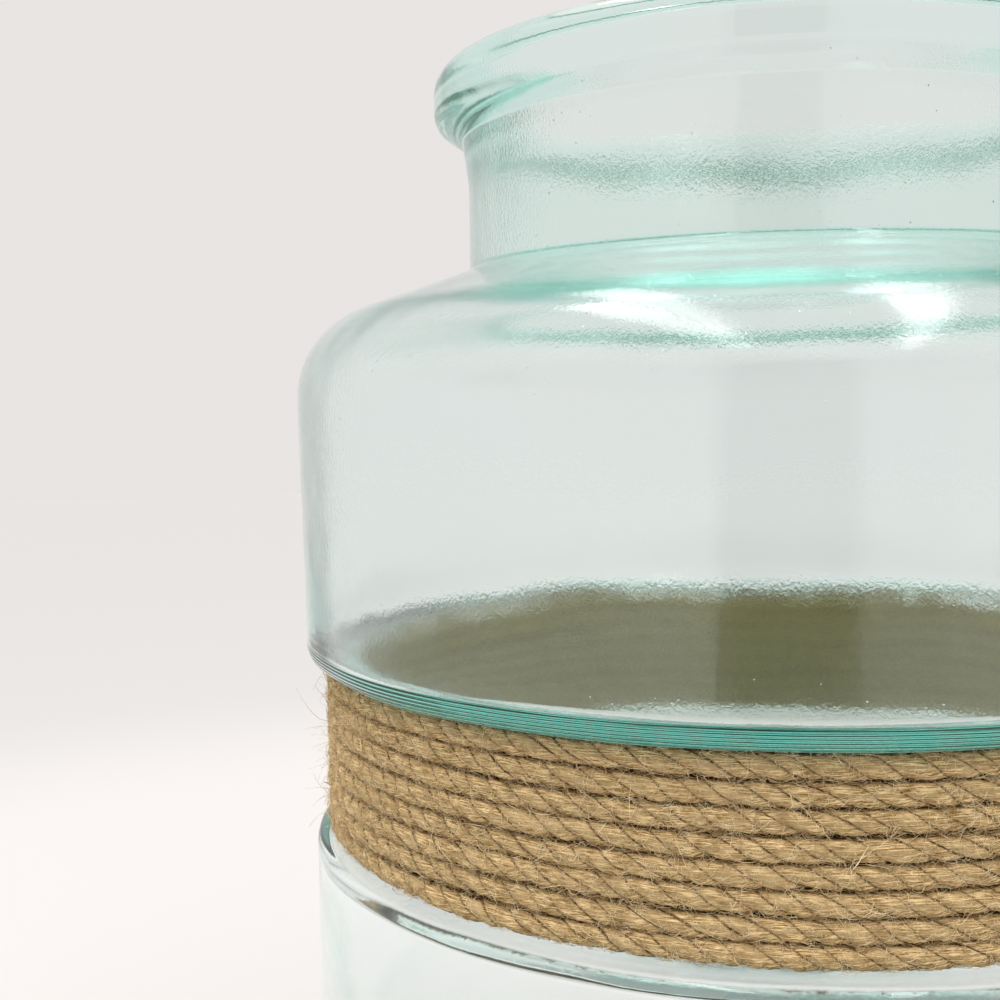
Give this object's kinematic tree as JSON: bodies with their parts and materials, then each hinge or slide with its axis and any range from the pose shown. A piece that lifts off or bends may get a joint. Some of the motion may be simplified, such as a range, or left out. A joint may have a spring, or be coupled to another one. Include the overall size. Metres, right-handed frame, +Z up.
{
  "type": "self-watering vase",
  "caption": "Pale green glass vase in two vessels: a wide-necked planter with jute rope wound round its waist stands in the mouth of a water reservoir and lifts out of it.",
  "frame": {"origin": "centre of the reservoir's base, on the surface that the vase stands on", "axes": "+Z up along the vase's axis; +Y away from the front; the rope's ends lie at the right, towards +X"},
  "size_m": [0.1998, 0.1998, 0.2665],
  "materials": {
    "planter_glass": "clear recycled glass with a faint green tint, pebbled on the inside of the neck and waist",
    "reservoir_glass": "clear recycled glass with a faint green tint",
    "jute": "raw three-strand jute rope, dull and hairy"
  },
  "bodies": {
    "reservoir": {"reservoir": "reservoir_glass"},
    "planter": {"planter": "planter_glass", "rope_winding": "jute"}
  },
  "joints": [
    {"name": "planter_lift", "type": "slide", "parent": "reservoir", "child": "planter", "axis": [0, 0, 1], "range_m": [0, 0.08]}
  ]
}
